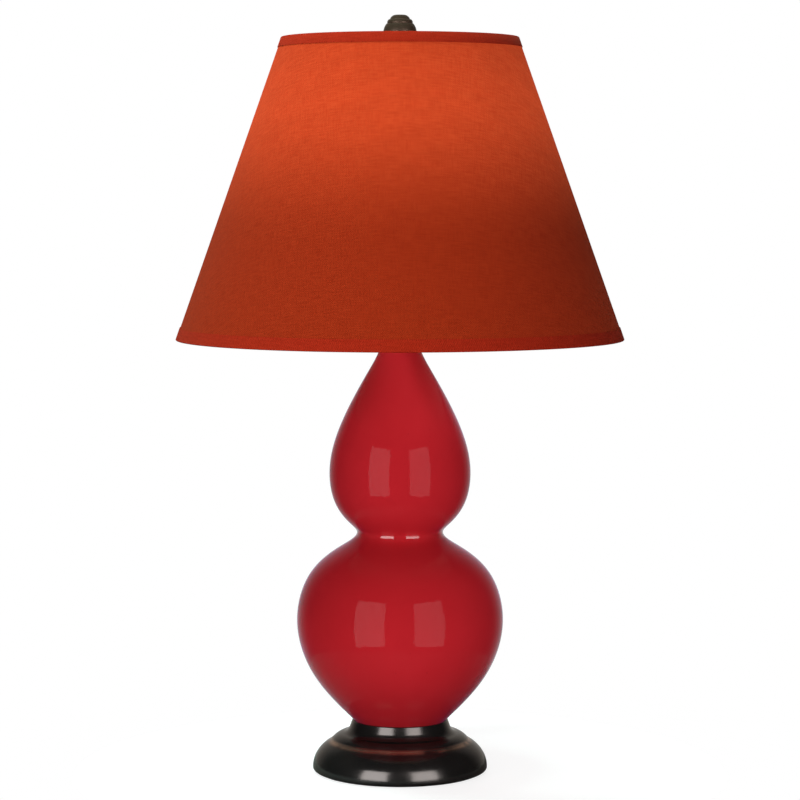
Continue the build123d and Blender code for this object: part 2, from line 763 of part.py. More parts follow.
# ---- shade_bottom_ring: wire hoop inside the lower rim ----
ring_depth = lining_depth + shade_ring_radius
with BuildPart() as shade_bottom_ring:
    with BuildSketch(Plane.XZ):
        wire_ring(ring_depth, shade_bottom + shade_ring_inset)
    revolve(axis=Axis.Z)
shade_bottom_ring.part.label = "shade_bottom_ring"
export_step(shade_bottom_ring.part, "parts/shade_bottom_ring.step")

# ---- shade_spider: top ring, three bent arms and the washer that sits on the harp ----
ring_centre_radius = shade_point(ring_depth, ring_height)[0]
arm_height = hub_bottom + spider_hub_thickness / 2
arm_start_radius = spider_hub_radius - spider_arm_radius
with BuildPart() as shade_spider:
    with BuildSketch(Plane.XZ):
        wire_ring(ring_depth, ring_height)
    revolve(axis=Axis.Z)
    with BuildSketch(Plane.XY.offset(hub_bottom)):
        Circle(spider_hub_radius)
    extrude(amount=spider_hub_thickness)
    for arm in range(spider_arms):
        arm_plane = Plane.XZ.rotated((0, 0, 360 / spider_arms * arm + 90))
        with BuildLine(arm_plane) as arm_path:
            FilletPolyline(
                (arm_start_radius, arm_height),
                (ring_centre_radius - spider_bend_inset, arm_height),
                (ring_centre_radius, ring_height),
                radius=spider_bend_radius,
            )
        with BuildSketch(Plane(origin=arm_path.line @ 0, z_dir=arm_path.line % 0)):
            Circle(spider_arm_radius)
        sweep(path=arm_path.line)
    with BuildSketch(Plane.XY.offset(hub_bottom - spider_arm_radius)):
        Circle(swivel_plate_radius + rest_gap)
    extrude(amount=spider_arm_radius, mode=Mode.SUBTRACT)
    with BuildSketch(Plane.XY.offset(hub_bottom)):
        Circle(spider_hub_hole_radius)
    extrude(amount=spider_hub_thickness, mode=Mode.SUBTRACT)
shade_spider.part.label = "shade_spider"
export_step(shade_spider.part, "parts/shade_spider.step")

# ---- socket_cap: spun brass cup screwed to the pipe above the saddle ----
socket_bottom = saddle_top
cap_rim_radius = socket_radius + socket_wall
cap_rim_start = socket_bottom + socket_cap_height - socket_cap_rim_height
cap_neck_top = socket_bottom + socket_cap_neck_height
cap_rim_top = socket_bottom + socket_cap_height
with BuildPart() as socket_cap:
    with BuildSketch(Plane.XZ):
        with BuildLine():
            Line((pipe_radius, socket_bottom), (socket_cap_neck_radius, socket_bottom))
            Line((socket_cap_neck_radius, socket_bottom), (socket_cap_neck_radius, cap_neck_top))
            TangentArc(
                (cap_rim_radius, cap_rim_start),
                (socket_cap_neck_radius, cap_neck_top),
                tangent=(0, -1),
            )
            Polyline(
                (cap_rim_radius, cap_rim_start),
                (cap_rim_radius, cap_rim_top),
                (socket_radius, cap_rim_top),
                (socket_radius, cap_rim_start),
            )
            Line(
                (socket_radius, cap_rim_start),
                (socket_cap_neck_radius + socket_wall, socket_bottom + socket_cap_hub_height),
            )
            Polyline(
                (socket_cap_neck_radius + socket_wall, socket_bottom + socket_cap_hub_height),
                (pipe_radius, socket_bottom + socket_cap_hub_height),
                (pipe_radius, socket_bottom),
            )
        make_face()
    revolve(axis=Axis.Z)
socket_cap.part.label = "socket_cap"
export_step(socket_cap.part, "parts/socket_cap.step")

# ---- socket_cap_screw: small set screw through the cap's neck ----
set_screw_height = socket_bottom + set_screw_radius + socket_wall
with BuildPart() as socket_cap_screw:
    with BuildSketch(Plane.XZ.offset(-socket_cap_neck_radius)):
        with Locations((0, set_screw_height)):
            Circle(set_screw_radius)
    extrude(amount=-set_screw_length / 2)
socket_cap_screw.part.label = "socket_cap_screw"
export_step(socket_cap_screw.part, "parts/socket_cap_screw.step")

# ---- socket_shell: thin brass sleeve with a rolled bead and a hole for the switch ----
shell_bottom = cap_rim_top - socket_shell_lap
socket_top = socket_bottom + socket_height
bead_low = socket_bottom + socket_bead_height
bead_middle = bead_low + socket_bead * 2
bead_high = bead_middle + socket_bead * 2
spindle_height = socket_bottom + switch_height
switch_plane = Plane(origin=(0, 0, spindle_height), x_dir=(1, 0, 0), z_dir=(0, -1, 0))
with BuildPart() as socket_shell:
    with BuildSketch(Plane.XZ):
        with BuildLine():
            Polyline(
                (socket_radius - socket_wall, shell_bottom),
                (socket_radius, shell_bottom),
                (socket_radius, bead_low),
            )
            ThreePointArc(
                (socket_radius, bead_low),
                (socket_radius + socket_bead, bead_middle),
                (socket_radius, bead_high),
            )
            Polyline(
                (socket_radius, bead_high),
                (socket_radius, socket_top),
                (socket_radius - socket_wall, socket_top),
                (socket_radius - socket_wall, shell_bottom),
            )
        make_face()
    revolve(axis=Axis.Z)
    with BuildSketch(switch_plane):
        Circle(spindle_hole_radius)
    extrude(amount=socket_radius + socket_wall, mode=Mode.SUBTRACT)
socket_shell.part.label = "socket_shell"
export_step(socket_shell.part, "parts/socket_shell.step")

# ---- socket_liner: fibre sleeve that insulates the shell ----
liner_radius = socket_radius - socket_wall - liner_gap / 2
liner_bore_radius = liner_radius - socket_liner_wall
liner_bottom = shell_bottom + liner_gap
with BuildPart() as socket_liner:
    with BuildSketch(Plane.XY.offset(liner_bottom)):
        Circle(liner_radius)
        Circle(liner_bore_radius, mode=Mode.SUBTRACT)
    extrude(amount=socket_top - liner_gap - liner_bottom)
    with BuildSketch(switch_plane):
        Circle(spindle_hole_radius)
    extrude(amount=socket_radius, mode=Mode.SUBTRACT)
socket_liner.part.label = "socket_liner"
export_step(socket_liner.part, "parts/socket_liner.step")

# ---- socket_interior: moulded body with grooves for the terminals and a bore for the switch ----
interior_radius = liner_bore_radius - liner_gap / 2
body_bottom = socket_bottom + interior_bottom
body_top = socket_bottom + interior_top
groove_floor = interior_radius - terminal_groove_depth
with BuildPart() as socket_interior:
    with BuildSketch(Plane.XY.offset(body_bottom)):
        Circle(interior_radius)
        with Locations((interior_radius, 0), (-interior_radius, 0)):
            Rectangle(terminal_groove_depth * 2, terminal_groove_width, mode=Mode.SUBTRACT)
    extrude(amount=body_top - body_bottom)
    with BuildSketch(Plane.XY.offset(body_top)):
        Circle(contact_post_radius)
    extrude(amount=-contact_sink, mode=Mode.SUBTRACT)
    with BuildSketch(switch_plane.offset(-spindle_inner_end - rest_gap)):
        Circle(spindle_radius + running_gap)
    extrude(amount=socket_radius, mode=Mode.SUBTRACT)
socket_interior.part.label = "socket_interior"
export_step(socket_interior.part, "parts/socket_interior.step")

# ---- terminal_screws: two heads in the grooves, one part ----
with BuildPart() as terminal_screws:
    for side in (-1, 1):
        with BuildSketch(Plane.YZ.offset(side * groove_floor)):
            with Locations((0, spindle_height)):
                Circle(terminal_head_radius)
        extrude(amount=side * terminal_head_thickness)
terminal_screws.part.label = "terminal_screws"
export_step(terminal_screws.part, "parts/terminal_screws.step")

# ---- screw_shell: threaded sleeve that takes the bulb's base ----
screw_shell_radius = screw_shell_bore_radius + screw_shell_wall
with BuildPart() as screw_shell:
    with BuildSketch(Plane.XY.offset(body_top)):
        Circle(screw_shell_radius)
    extrude(amount=screw_shell_height)
    with BuildSketch(Plane.XY.offset(body_top + screw_shell_wall)):
        Circle(screw_shell_bore_radius)
    extrude(amount=screw_shell_height, mode=Mode.SUBTRACT)
    with BuildSketch(Plane.XY.offset(body_top)):
        Circle(screw_shell_bore_radius - screw_shell_lip)
    extrude(amount=screw_shell_wall, mode=Mode.SUBTRACT)
screw_shell.part.label = "screw_shell"
export_step(screw_shell.part, "parts/screw_shell.step")

# ---- centre_contact: sprung brass button under the bulb ----
contact_top = body_top + contact_rise
with BuildPart() as centre_contact:
    with BuildSketch(Plane.XY.offset(body_top - contact_sink)):
        Circle(contact_post_radius)
    extrude(amount=contact_rise + contact_sink)
    fillet(centre_contact.faces().sort_by(Axis.Z)[-1].edges(), radius=contact_post_radius / 3)
centre_contact.part.label = "centre_contact"
export_step(centre_contact.part, "parts/centre_contact.step")

# ---- switch_spindle and switch_knob: they turn together about a level axis at the front ----
with BuildPart() as switch_spindle:
    with BuildSketch(switch_plane.offset(-spindle_inner_end)):
        Circle(spindle_radius)
    extrude(amount=spindle_inner_end + knob_start + knob_socket_depth)
switch_spindle.part.label = "switch_spindle"
export_step(switch_spindle.part, "parts/switch_spindle.step")

with BuildPart() as switch_knob:
    with BuildSketch(switch_plane.offset(knob_start)):
        Circle(knob_radius)
        with PolarLocations(knob_radius, knob_flutes):
            Circle(knob_flute_radius, mode=Mode.SUBTRACT)
    extrude(amount=knob_length)
    with BuildSketch(switch_plane.offset(knob_start + knob_length)):
        Circle(knob_radius - knob_flute_radius)
    extrude(amount=knob_edge)
    with BuildSketch(switch_plane.offset(knob_start)):
        Circle(spindle_radius)
    extrude(amount=knob_socket_depth, mode=Mode.SUBTRACT)
switch_knob.part.label = "switch_knob"
export_step(switch_knob.part, "parts/switch_knob.step")

# ---- Bulb: its own heights are measured from the tip of its contact ----
bulb_tip = contact_top + rest_gap
ball_height = bulb_tip + bulb_length - bulb_radius
shoulder = Vector(0, ball_height) + polar(bulb_radius, -bulb_shoulder_angle)
shoulder_direction = polar(1, 90 - bulb_shoulder_angle)
neck_end = Vector(bulb_neck_radius + bulb_wall, bulb_tip + bulb_neck_height)
base_bottom = bulb_tip + bulb_base_bottom
base_top = bulb_tip + bulb_base_top

# ---- bulb_glass: blown pear-shaped envelope ----
inner_ball_radius = bulb_radius - bulb_wall
inner_shoulder = Vector(0, ball_height) + polar(inner_ball_radius, -bulb_shoulder_angle)
with BuildPart() as bulb_glass:
    with BuildSketch(Plane.XZ):
        with BuildLine():
            Polyline(
                (0, bulb_tip + bulb_neck_start),
                (bulb_neck_radius, bulb_tip + bulb_neck_start),
                (bulb_neck_radius, base_top),
                neck_end,
            )
            TangentArc(shoulder, neck_end, tangent=-shoulder_direction)
            CenterArc((0, ball_height), bulb_radius, -bulb_shoulder_angle, 90 + bulb_shoulder_angle)
            Line((0, ball_height + bulb_radius), (0, bulb_tip + bulb_neck_start))
        make_face()
    revolve(axis=Axis.Z)
    with BuildSketch(Plane.XZ):
        with BuildLine():
            Polyline(
                (0, bulb_tip + bulb_stem_height),
                (bulb_neck_radius - bulb_wall, bulb_tip + bulb_stem_height),
                neck_end - Vector(bulb_wall, 0),
            )
            TangentArc(inner_shoulder, neck_end - Vector(bulb_wall, 0), tangent=-shoulder_direction)
            CenterArc((0, ball_height), inner_ball_radius, -bulb_shoulder_angle, 90 + bulb_shoulder_angle)
            Line((0, ball_height + inner_ball_radius), (0, bulb_tip + bulb_stem_height))
        make_face()
    revolve(axis=Axis.Z, mode=Mode.SUBTRACT)
bulb_glass.part.label = "bulb_glass"
export_step(bulb_glass.part, "parts/bulb_glass.step")

# ---- bulb_base: screw cap crimped on the glass neck ----
with BuildPart() as bulb_base:
    with BuildSketch(Plane.XY.offset(base_bottom)):
        Circle(bulb_base_radius)
    extrude(amount=base_top - base_bottom)
    with BuildSketch(Plane.XY.offset(base_bottom + bulb_base_wall)):
        Circle(bulb_base_radius - bulb_base_wall)
    extrude(amount=base_top - base_bottom, mode=Mode.SUBTRACT)
    chamfer(bulb_base.faces().sort_by(Axis.Z)[0].edges(), length=bulb_base_wall / 2)
bulb_base.part.label = "bulb_base"
export_step(bulb_base.part, "parts/bulb_base.step")

# ---- bulb_insulator and bulb_contact: black glass cone and the tip it holds ----
with BuildPart() as bulb_insulator:
    with BuildSketch(Plane.XZ):
        with BuildLine():
            Polyline(
                (0, bulb_tip + insulator_bottom),
                (insulator_low_radius, bulb_tip + insulator_bottom),
                (bulb_base_radius - bulb_base_wall, base_bottom),
                (0, base_bottom),
                close=True,
            )
        make_face()
    revolve(axis=Axis.Z)
bulb_insulator.part.label = "bulb_insulator"
export_step(bulb_insulator.part, "parts/bulb_insulator.step")

with BuildPart() as bulb_contact:
    with BuildSketch(Plane.XY.offset(bulb_tip)):
        Circle(bulb_contact_radius)
    extrude(amount=insulator_bottom)
    chamfer(bulb_contact.faces().sort_by(Axis.Z)[0].edges(), length=insulator_bottom / 2)
bulb_contact.part.label = "bulb_contact"
export_step(bulb_contact.part, "parts/bulb_contact.step")

# ---- Heights that the lamp is checked by ----
for name, height in (
    ("collar lip", lip_top),
    ("gourd top", gourd_top),
    ("saddle underside", saddle_bottom),
    ("socket top", socket_top),
    ("shade seat", shade_seat),
    ("shade rims", (shade_bottom, shade_top)),
    ("bulb top", ball_height + bulb_radius),
    ("finial top", finial_top),
    ("cord bushing", (bushing_inner_end, flange_face)),
    ("spindle", spindle_height),
):
    print(name, height)
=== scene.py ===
from math import atan2, cos, hypot, pi, radians, sin, tau

import bpy
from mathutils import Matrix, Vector


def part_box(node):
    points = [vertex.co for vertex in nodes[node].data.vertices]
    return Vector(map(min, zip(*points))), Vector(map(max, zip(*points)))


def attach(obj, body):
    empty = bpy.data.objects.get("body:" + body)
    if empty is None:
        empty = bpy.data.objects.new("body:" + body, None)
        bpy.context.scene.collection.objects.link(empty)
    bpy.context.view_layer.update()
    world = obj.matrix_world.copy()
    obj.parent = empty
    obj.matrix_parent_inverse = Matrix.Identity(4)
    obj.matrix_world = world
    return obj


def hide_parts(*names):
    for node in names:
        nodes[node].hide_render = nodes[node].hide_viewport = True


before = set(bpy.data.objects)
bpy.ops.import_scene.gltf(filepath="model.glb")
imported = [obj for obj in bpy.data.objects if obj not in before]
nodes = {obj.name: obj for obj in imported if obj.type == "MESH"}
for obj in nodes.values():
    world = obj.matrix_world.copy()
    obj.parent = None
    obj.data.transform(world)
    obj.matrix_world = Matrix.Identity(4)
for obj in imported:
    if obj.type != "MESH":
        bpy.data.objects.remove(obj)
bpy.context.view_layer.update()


# ---- Felt pad: a disc of black wool felt, glued under the foot so that it can't scratch the table.
# It is stamped out of sheet, so its edge is soft and a little uneven.
def start_piece(name):
    """Names the primitive that was just added, and opens it for modelling."""
    piece = bpy.context.object
    piece.name = name
    piece.data.name = name
    bpy.ops.object.mode_set(mode="EDIT")
    bpy.ops.mesh.select_mode(type="VERT")
    bpy.ops.mesh.select_all(action="SELECT")
    return piece


def finish_piece(piece, body, material, smooth=50):
    """Closes a piece: smooth faces with crisp edges, its finish, and the body that it rides on."""
    bpy.context.view_layer.objects.active = piece
    bpy.ops.object.mode_set(mode="OBJECT")
    for modifier in list(piece.modifiers):
        bpy.ops.object.modifier_apply(modifier=modifier.name)
    bpy.ops.object.transform_apply(location=True, rotation=True, scale=True)
    bpy.ops.object.shade_smooth_by_angle(angle=radians(smooth))
    piece.data.materials.clear()
    piece.data.materials.append(material)
    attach(piece, body)
    piece.select_set(False)


def shader(name):
    """A new material, with its node tree and its one surface shader."""
    material = bpy.data.materials.new(name)
    material.use_nodes = True
    tree = material.node_tree
    return material, tree, tree.nodes["Principled BSDF"]


def set_inputs(tree, node, values):
    """Gives a node's inputs their constants, or links other nodes' outputs to them."""
    for key, value in values.items():
        if isinstance(value, bpy.types.NodeSocket):
            tree.links.new(value, node.inputs[key])
        else:
            node.inputs[key].default_value = value


def add_node(tree, kind, inputs, **settings):
    """A new node with its settings and its inputs."""
    made = tree.nodes.new(kind)
    for key, value in settings.items():
        setattr(made, key, value)
    set_inputs(tree, made, inputs)
    return made


def math_node(tree, operation, first, second=0.0, third=0.0):
    """The value of one Math node."""
    return add_node(tree, "ShaderNodeMath", {0: first, 1: second, 2: third}, operation=operation).outputs[0]


def ramp(tree, value, low, high, to_low=0.0, to_high=1.0):
    """A value carried smoothly from one range to another."""
    spread = {"Value": value, 1: low, 2: high, 3: to_low, 4: to_high}
    return add_node(tree, "ShaderNodeMapRange", spread, interpolation_type="SMOOTHSTEP").outputs[0]


def mix(tree, share, first, second):
    """A colour between two others. A Mix node's colours are its inputs 6 and 7 and its output 2."""
    ends = {6: first, 7: second}
    ends = {key: (*end, 1) if isinstance(end, tuple) else end for key, end in ends.items()}
    return add_node(tree, "ShaderNodeMix", {"Factor": share, **ends}, data_type="RGBA").outputs[2]


def noise(tree, place, scale, detail=3.0):
    """A soft random value between 0 and 1."""
    facts = {"Vector": place, "Scale": scale, "Detail": detail}
    return add_node(tree, "ShaderNodeTexNoise", facts).outputs["Fac"]


def bump(tree, height, distance, strength=1.0):
    """A surface normal raised by a height."""
    facts = {"Height": height, "Distance": distance, "Strength": strength}
    return add_node(tree, "ShaderNodeBump", facts).outputs["Normal"]


def object_place(tree):
    """The place on the piece, in metres."""
    return tree.nodes.new("ShaderNodeTexCoord").outputs["Object"]


def split(tree, place):
    """The X, Y and Z of a place."""
    return add_node(tree, "ShaderNodeSeparateXYZ", {0: place}).outputs


def new_group(name, inputs, outputs):
    """A shader node group with named number sockets, its given values and its result node."""
    group = bpy.data.node_groups.new(name, "ShaderNodeTree")
    for socket, kind, default in inputs:
        made = group.interface.new_socket(socket, in_out="INPUT", socket_type=kind)
        if default is not None:
            made.default_value = default
    for socket in outputs:
        group.interface.new_socket(socket, in_out="OUTPUT", socket_type="NodeSocketFloat")
    return group, group.nodes.new("NodeGroupInput").outputs, group.nodes.new("NodeGroupOutput")


def use_group(tree, group, inputs):
    """Places a node group in a material, with its own values."""
    return add_node(tree, "ShaderNodeGroup", inputs, node_tree=group).outputs


felt, tree, surface = shader("black_felt")
place = object_place(tree)
fibres = noise(tree, place, 1400, 4)
clumps = noise(tree, place, 160, 3)
fluff = math_node(tree, "MULTIPLY", fibres, clumps)
felt_look = {
    "Base Color": mix(tree, fluff, (0.006, 0.006, 0.007), (0.075, 0.072, 0.070)),
    "Normal": bump(tree, fibres, 0.0004, 0.8),
    "Roughness": 0.95,
    "Sheen Weight": 0.5,
}
set_inputs(tree, surface, felt_look)

felt_low, felt_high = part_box("felt_pad")
felt_soft_edge = 0.0003
felt_waver = 0.00012
felt_waves = 17
felt_swells = 5
bpy.ops.object.select_all(action="DESELECT")
bpy.ops.mesh.primitive_cylinder_add(
    vertices=160,
    radius=felt_high.x - felt_waver,
    depth=felt_high.z - felt_low.z,
    location=(0, 0, (felt_high.z + felt_low.z) / 2),
)
felt_disc = start_piece("felt_disc")
bpy.ops.mesh.bevel(offset=felt_soft_edge, segments=3, affect="EDGES", profile=0.5)
bpy.ops.object.mode_set(mode="OBJECT")
for corner in felt_disc.data.vertices:
    around = atan2(corner.co.y, corner.co.x)
    waver = felt_waver * sin(felt_waves * around) * sin(felt_swells * around + 1)
    corner.co.xy *= 1 + waver / felt_high.x
finish_piece(felt_disc, "lamp_base", felt)
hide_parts("felt_pad")


# ---- Spun base: a foot of spun steel in dome, bead, scotia and collar, plated and rubbed.
# The patina is a satin brown-black, and copper shows where hands and cloths wear the bead's edge.
lathe_marks, given, result = new_group(
    "lathe_marks",
    (("Place", "NodeSocketVector", None), ("Pitch", "NodeSocketFloat", 0.0004)),
    ("Height",),
)
parts = split(lathe_marks, given["Place"])
square = math_node(lathe_marks, "MULTIPLY", parts["X"], parts["X"])
square = math_node(lathe_marks, "MULTIPLY_ADD", parts["Y"], parts["Y"], square)
radius = math_node(lathe_marks, "SQRT", square)
profile_place = add_node(lathe_marks, "ShaderNodeCombineXYZ", {"X": radius, "Y": parts["Z"]}).outputs[0]
line_scale = math_node(lathe_marks, "DIVIDE", 1.0, given["Pitch"])
set_inputs(lathe_marks, result, {"Height": noise(lathe_marks, profile_place, line_scale, 2)})

worn_edge, given, result = new_group(
    "worn_edge",
    (
        ("Place", "NodeSocketVector", None),
        ("Height", "NodeSocketFloat", 0.0),
        ("Reach", "NodeSocketFloat", 0.001),
        ("Patches", "NodeSocketFloat", 60.0),
    ),
    ("Wear", "Ridge"),
)
away = math_node(worn_edge, "SUBTRACT", split(worn_edge, given["Place"])["Z"], given["Height"])
away = math_node(worn_edge, "ABSOLUTE", away)
away = math_node(worn_edge, "DIVIDE", away, given["Reach"])
near = ramp(worn_edge, away, 0.0, 1.0, 1.0, 0.0)
rubbed = ramp(worn_edge, noise(worn_edge, given["Place"], given["Patches"], 4), 0.28, 0.52)
set_inputs(worn_edge, result, {"Wear": math_node(worn_edge, "MULTIPLY", near, rubbed), "Ridge": near})

lathe_depth = 0.00001


def patina(name, dark, light, edges, worn, gloss, metal):
    """Rubbed bronze between two browns. Each edge has a height, a reach, an amount of wear and a rise."""
    bronze, tree, surface = shader(name)
    place = object_place(tree)
    clouds = noise(tree, place, 35, 4)
    brown = mix(tree, ramp(tree, clouds, 0.35, 0.75), dark, light)
    wear = 0.0
    marks = use_group(tree, lathe_marks, {"Place": place, "Pitch": 0.0007})["Height"]
    relief = math_node(tree, "MULTIPLY", marks, lathe_depth)
    for height, reach, amount, rise in edges:
        edge = use_group(tree, worn_edge, {"Place": place, "Height": height, "Reach": reach})
        rub = math_node(tree, "MULTIPLY", edge["Wear"], amount)
        wear = math_node(tree, "MAXIMUM", wear, rub)
        relief = math_node(tree, "MULTIPLY_ADD", edge["Ridge"], rise, relief)
    look = {
        "Base Color": mix(tree, wear, brown, worn),
        "Normal": bump(tree, relief, 1.0),
        "Roughness": ramp(tree, clouds, 0.3, 0.8, gloss, gloss + 0.08),
        "Metallic": metal,
        "Specular Tint": (0.62, 0.58, 0.53, 1),
    }
    set_inputs(tree, surface, look)
    return bronze


def dress(material, *names):
    """Gives CAD nodes a finish in place of their plain one."""
    for name in names:
        for held in nodes[name].material_slots:
            held.material = material


base_low, base_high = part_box("base_shell")
bead_height = 0.0230
base_edges = (
    (base_low.z + bead_height, 0.0022, 1.0, 0.00045),
    (base_high.z, 0.0005, 0.4, 0.0),
)
copper = (0.33, 0.20, 0.14)
bronze_dark = (0.045, 0.041, 0.040)
bronze_light = (0.058, 0.051, 0.048)
base_bronze = patina(
    "rubbed_bronze_base", bronze_dark, bronze_light, base_edges, copper, gloss=0.16, metal=0.8
)
dress(base_bronze, "base_shell")


# ---- Inside the foot: a raw iron casting for weight, with the washer and nut that draw the pipe down,
# and the moulded bushing that leads a cord out at the back.
iron, tree, surface = shader("sand_cast_iron")
place = object_place(tree)
sand = noise(tree, place, 900, 5)
rust = ramp(tree, noise(tree, place, 45, 4), 0.5, 0.75)
iron_look = {
    "Base Color": mix(tree, rust, (0.075, 0.074, 0.073), (0.13, 0.085, 0.06)),
    "Normal": bump(tree, sand, 0.0003, 0.8),
    "Metallic": 0.7,
    "Roughness": 0.7,
}
set_inputs(tree, surface, iron_look)
dress(iron, "base_weight")

zinc, tree, surface = shader("zinc_plate")
spangle = noise(tree, object_place(tree), 300, 3)
zinc_look = {
    "Base Color": mix(tree, spangle, (0.34, 0.34, 0.32), (0.46, 0.47, 0.48)),
    "Roughness": ramp(tree, spangle, 0.3, 0.7, 0.26, 0.42),
    "Metallic": 1.0,
}
set_inputs(tree, surface, zinc_look)
dress(zinc, "base_washer", "base_nut", "lamp_pipe", "socket_cap_screw")

black_moulding, tree, surface = shader("black_moulding")
flow = noise(tree, object_place(tree), 250, 3)
moulding_look = {
    "Base Color": mix(tree, flow, (0.010, 0.010, 0.011), (0.022, 0.021, 0.020)),
    "Roughness": ramp(tree, flow, 0.3, 0.7, 0.28, 0.40),
}
set_inputs(tree, surface, moulding_look)
dress(black_moulding, "cord_bushing", "switch_knob")


# ---- Double gourd: slip-cast ceramic in one hollow piece, dipped in a deep crimson glaze and fired glossy.
# It stands on a rubber ring in the base's collar, and another ring lies under the cap on its neck.
# The glaze runs together in the waist, where it lies thicker and shines more.
waist_height = 0.1857
pool_core = 0.0015
pool_edge = 0.0060
pool_gloss = 0.75
glaze, tree, surface = shader("crimson_glaze")
place = object_place(tree)
pooling = noise(tree, place, 9, 3)
specks = ramp(tree, noise(tree, place, 420, 2), 0.70, 0.80, 0.0, 0.35)
crimson = mix(tree, ramp(tree, pooling, 0.3, 0.7), (0.465, 0.0135, 0.0195), (0.520, 0.0165, 0.0245))
from_waist = math_node(tree, "SUBTRACT", split(tree, place)["Z"], waist_height)
from_waist = math_node(tree, "ABSOLUTE", from_waist)
glaze_look = {
    "Base Color": mix(tree, specks, crimson, (0.26, 0.006, 0.009)),
    "Normal": bump(tree, noise(tree, place, 28, 2), 0.0004, 0.15),
    "Roughness": ramp(tree, pooling, 0.3, 0.7, 0.012, 0.030),
    "IOR": 1.46,
    "Specular IOR Level": 0.04,
    "Coat Weight": ramp(tree, from_waist, pool_core, pool_edge, pool_gloss, 0.0),
    "Coat Roughness": 0.02,
    "Sheen Weight": 0.30,
    "Sheen Roughness": 0.25,
    "Sheen Tint": (0.45, 0.20, 0.80, 1),
}
set_inputs(tree, surface, glaze_look)
dress(glaze, "gourd_body")

rubber, tree, surface = shader("black_rubber")
bloom = noise(tree, object_place(tree), 200, 4)
rubber_look = {
    "Base Color": mix(tree, bloom, (0.012, 0.012, 0.012), (0.035, 0.034, 0.033)),
    "Roughness": 0.75,
}
set_inputs(tree, surface, rubber_look)
dress(rubber, "seat_gasket", "neck_washer")


# ---- Cap and check ring: the spun cap that closes the neck, and the turned brass ring above it.
# Both are clamped by the pipe, under the harp's saddle. The socket and its screws are of the same brass.
cap_low, cap_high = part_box("vase_cap")
cap_edges = (
    (cap_low.z, 0.0008, 0.7, 0.0),
    (cap_high.z, 0.0005, 0.5, 0.0),
)
cap_bronze = patina("rubbed_bronze_cap", bronze_dark, bronze_light, cap_edges, copper, gloss=0.2, metal=1.0)
dress(cap_bronze, "vase_cap")

brass, tree, surface = shader("antique_brass")
place = object_place(tree)
tarnish = noise(tree, place, 70, 4)
marks = use_group(tree, lathe_marks, {"Place": place, "Pitch": 0.0005})["Height"]
brass_look = {
    "Base Color": mix(tree, ramp(tree, tarnish, 0.4, 0.75), (0.40, 0.28, 0.115), (0.26, 0.175, 0.07)),
    "Normal": bump(tree, marks, 0.00002, 0.4),
    "Roughness": ramp(tree, tarnish, 0.3, 0.8, 0.30, 0.46),
    "Metallic": 1.0,
}
set_inputs(tree, surface, brass_look)
dress(brass, "check_ring", "socket_cap", "socket_shell", "terminal_screws", "centre_contact")
dress(brass, "finial_insert", "switch_spindle", "bulb_contact")


# ---- Harp: a bent wire loop on a strip saddle, locked by two sleeves, with a riveted seat for the shade.
# All of it is steel with a dull bronze plating.
wire_bronze, tree, surface = shader("bronze_plated_wire")
plating = noise(tree, object_place(tree), 120, 4)
wire_look = {
    "Base Color": mix(tree, ramp(tree, plating, 0.35, 0.7), (0.115, 0.080, 0.052), (0.20, 0.145, 0.10)),
    "Roughness": ramp(tree, plating, 0.3, 0.7, 0.30, 0.45),
    "Metallic": 1.0,
}
set_inputs(tree, surface, wire_look)
dress(wire_bronze, "harp_saddle", "harp_frame", "harp_ferrule_left", "harp_ferrule_right")

rings_per_turn = 10


def threaded(name, radius, low, high, pitch, depth, segments=96, chamfer=0.0):
    """A closed cylinder with a thread, which fades out towards both ends, and a chamfer at its top."""
    bpy.ops.object.select_all(action="DESELECT")
    bpy.ops.mesh.primitive_cylinder_add(
        vertices=segments, radius=radius, depth=high - low, location=(0, 0, (low + high) / 2)
    )
    piece = start_piece(name)
    bpy.ops.object.mode_set(mode="OBJECT")
    bpy.ops.object.transform_apply(location=True, rotation=True, scale=True)
    rings = int((high - low) / pitch * rings_per_turn)
    bpy.ops.object.mode_set(mode="EDIT")
    for ring in range(1, rings):
        bpy.ops.mesh.select_all(action="SELECT")
        height = low + (high - low) * ring / rings
        bpy.ops.mesh.bisect(plane_co=(0, 0, height), plane_no=(0, 0, 1))
    bpy.ops.object.mode_set(mode="OBJECT")
    for corner in piece.data.vertices:
        around = atan2(corner.co.y, corner.co.x)
        fade = max(0.0, min(1.0, (corner.co.z - low) / pitch, (high - corner.co.z) / pitch))
        groove = 0.5 - 0.5 * cos(tau * (corner.co.z - low) / pitch - around)
        turned = min(radius - fade * depth * groove, radius - chamfer + high - corner.co.z)
        corner.co.xy *= turned / radius
    return piece


def select_end(piece, up):
    """Opens a piece with only its top (up=1) or bottom (up=-1) face selected."""
    bpy.ops.object.mode_set(mode="EDIT")
    bpy.ops.mesh.select_all(action="DESELECT")
    bpy.ops.mesh.select_mode(type="FACE")
    bpy.ops.object.mode_set(mode="OBJECT")
    end = max(piece.data.polygons, key=lambda face: face.center.z * up)
    end.select = True
    bpy.ops.object.mode_set(mode="EDIT")


def step_down(radius, steps):
    """Carries the selected bottom face down a turned profile of (radius, drop) steps."""
    for next_radius, drop in steps:
        bpy.ops.mesh.extrude_region_move(TRANSFORM_OT_translate={"value": (0, 0, -drop)})
        share = next_radius / radius
        bpy.ops.transform.resize(value=(share, share, 1), center_override=(0, 0, 0))
        radius = next_radius


